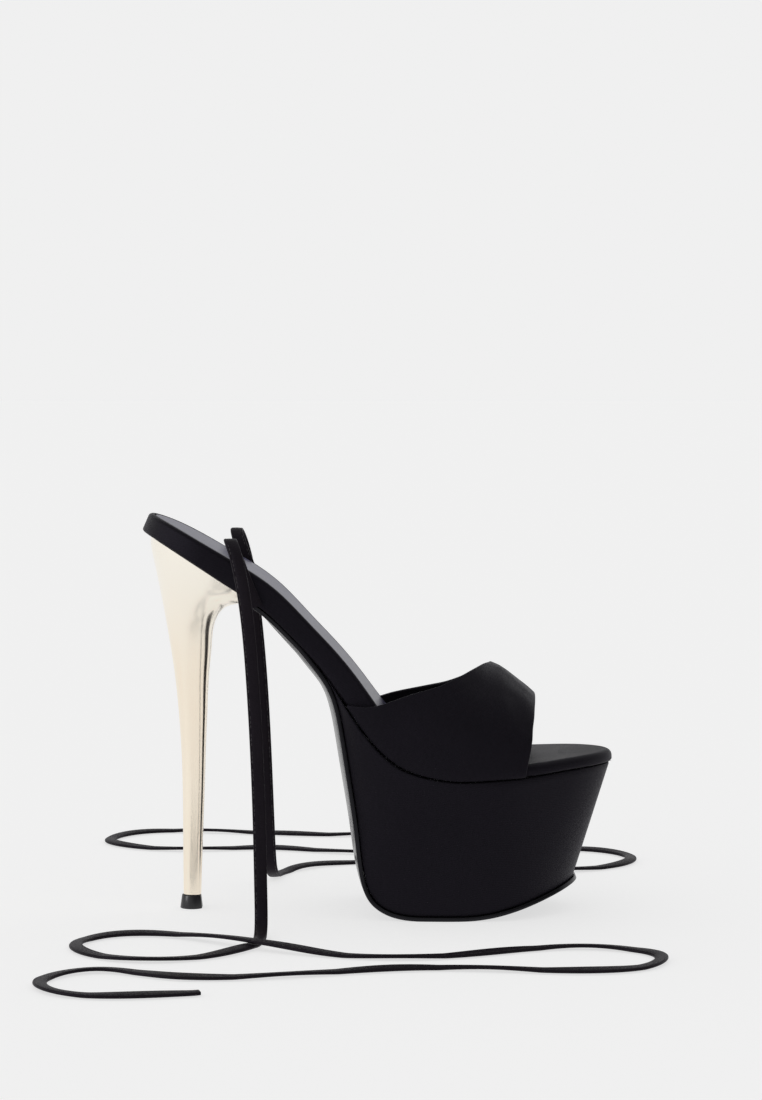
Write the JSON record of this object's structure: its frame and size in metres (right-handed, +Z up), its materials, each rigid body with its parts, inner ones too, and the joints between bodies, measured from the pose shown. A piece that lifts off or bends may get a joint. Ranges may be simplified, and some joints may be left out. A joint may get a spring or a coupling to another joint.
{
  "type": "lace up heeled sandal",
  "caption": "Black satin platform sandal with an open-toed band, a plated stiletto heel and long flat ties lying loose on the floor.",
  "frame": {"origin": "middle of the sandal's box on the floor, the ties left out", "axes": "+X towards the toe, +Y towards the inner side of the foot, +Z up"},
  "size_m": [0.2668, 0.4028, 0.1774],
  "materials": {
    "satin": "black satin with a soft sheen",
    "sock": "dark smooth coated sock",
    "sole": "gloss black",
    "plating": "polished pale gold plating"
  },
  "bodies": {
    "root": {"footbed": "satin", "sock_liner": "sock", "outsole": "sole", "platform": "satin", "upper_band": "satin", "heel": "plating", "top_piece": "sole", "tie_lateral": "satin", "tie_medial": "satin"}
  },
  "joints": []
}
